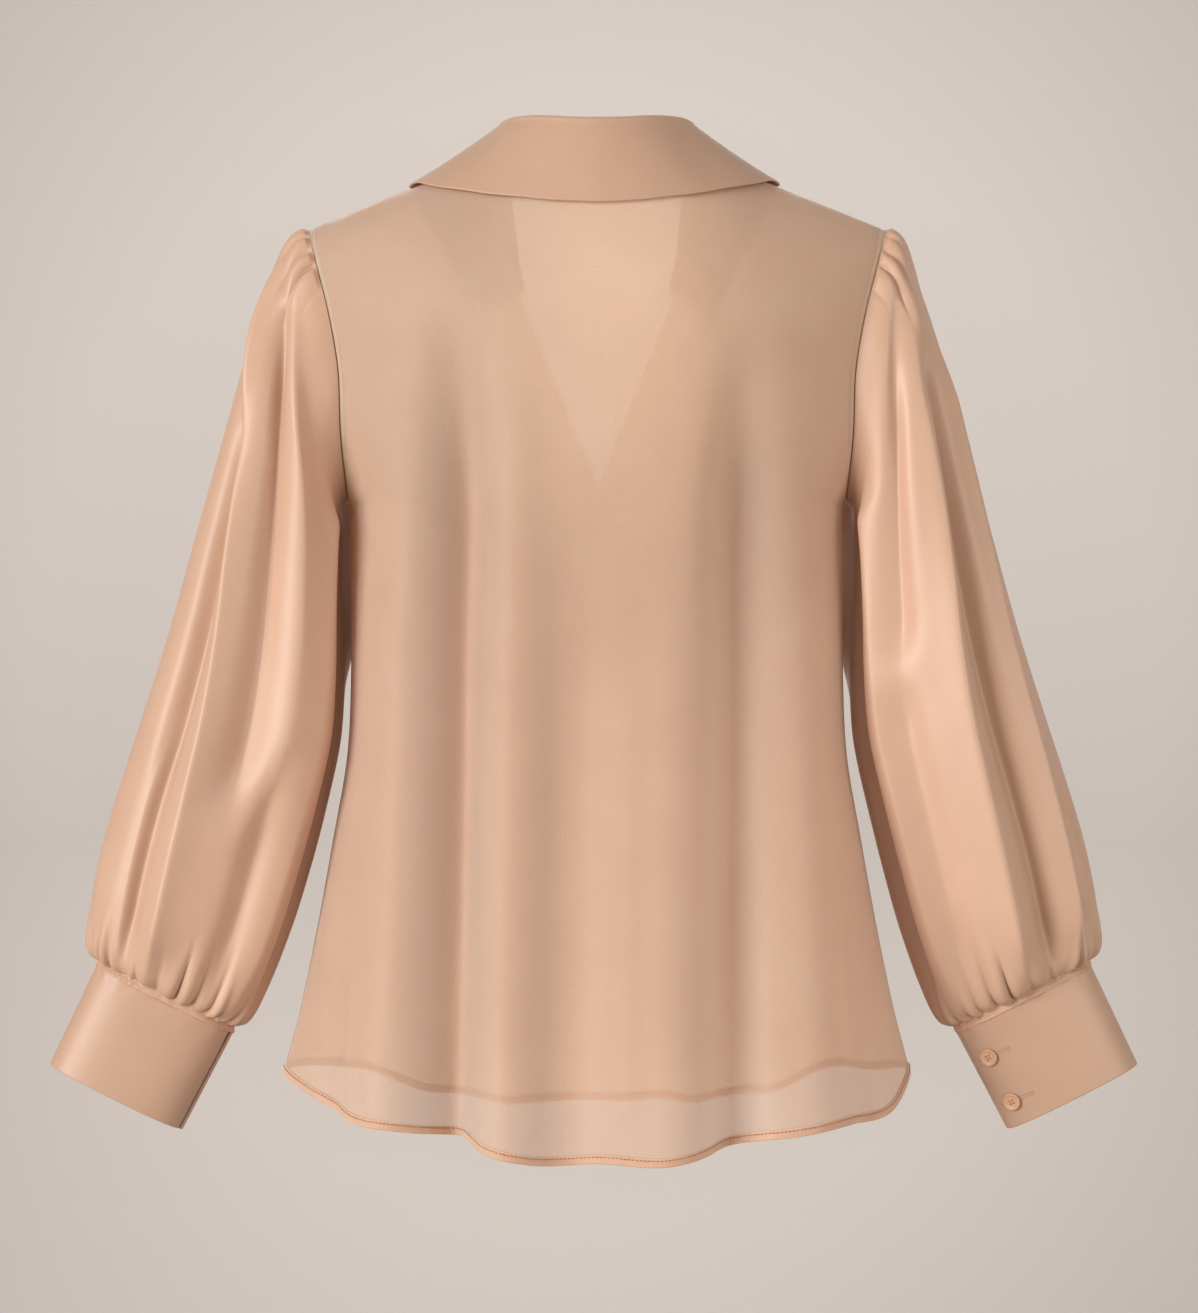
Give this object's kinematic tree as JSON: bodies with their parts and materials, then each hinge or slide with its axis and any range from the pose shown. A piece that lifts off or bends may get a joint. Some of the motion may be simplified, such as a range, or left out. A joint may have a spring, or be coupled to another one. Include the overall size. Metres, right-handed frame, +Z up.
{
  "type": "popover blouse with bishop sleeves",
  "caption": "Light crepe popover blouse, filled out as worn: fold-over collar, V neck, full sleeves gathered into deep buttoned cuffs.",
  "frame": {"origin": "middle of the neck opening, level with the inner ends of the shoulder seams, where the wearer's neck and shoulders hold the garment", "axes": "+Z up, the front faces -Y, the wearer's left is +X"},
  "size_m": [0.7344, 0.3151, 0.6907],
  "materials": {
    "sheer_crepe": "light sheer crepe",
    "satin_crepe": "satin-backed crepe, soft sheen",
    "button_resin": "satin resin dyed to match"
  },
  "bodies": {
    "root": {"back": "sheer_crepe", "front": "sheer_crepe", "collar": "satin_crepe", "sleeve_left": "satin_crepe", "sleeve_right": "satin_crepe", "cuff_left": "satin_crepe", "cuff_right": "satin_crepe", "button_left_1": "button_resin", "button_left_2": "button_resin", "button_right_1": "button_resin", "button_right_2": "button_resin"}
  },
  "joints": []
}
